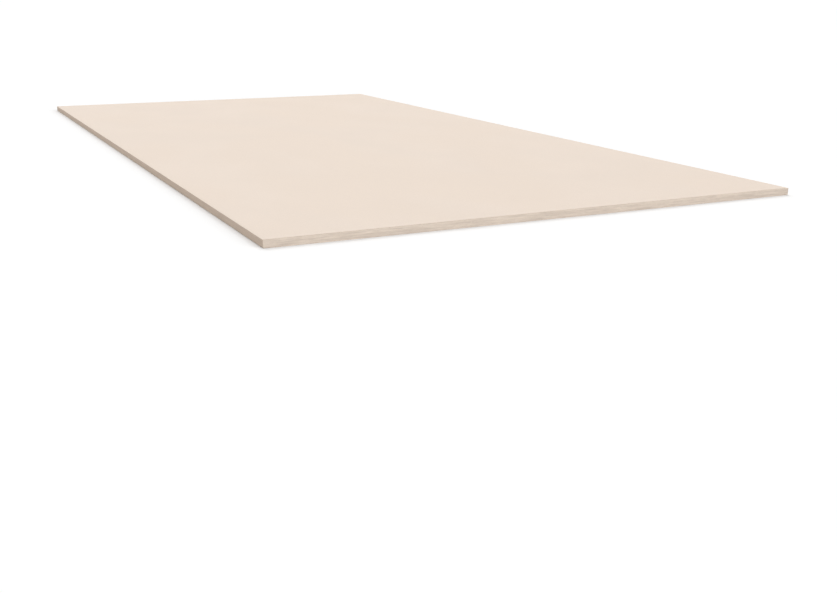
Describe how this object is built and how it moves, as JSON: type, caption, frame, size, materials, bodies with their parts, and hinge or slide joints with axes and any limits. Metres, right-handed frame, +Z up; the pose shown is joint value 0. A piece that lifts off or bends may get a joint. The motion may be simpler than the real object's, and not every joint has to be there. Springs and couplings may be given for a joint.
{
  "type": "drywall sheet",
  "caption": "Full flat sheet of gypsum wallboard with a cream paper face, bound square long edges, square-cut ends and a grey-brown back liner.",
  "frame": {"origin": "middle of the underside, on the surface that the sheet lies on", "axes": "+X along the sheet from cut end to cut end, +Y across it from bound edge to bound edge, +Z up out of the paper face"},
  "size_m": [2.4384, 1.2192, 0.0159],
  "materials": {
    "face_paper": "matte"
  },
  "bodies": {
    "root": {"drywall_sheet": "face_paper"}
  },
  "joints": []
}
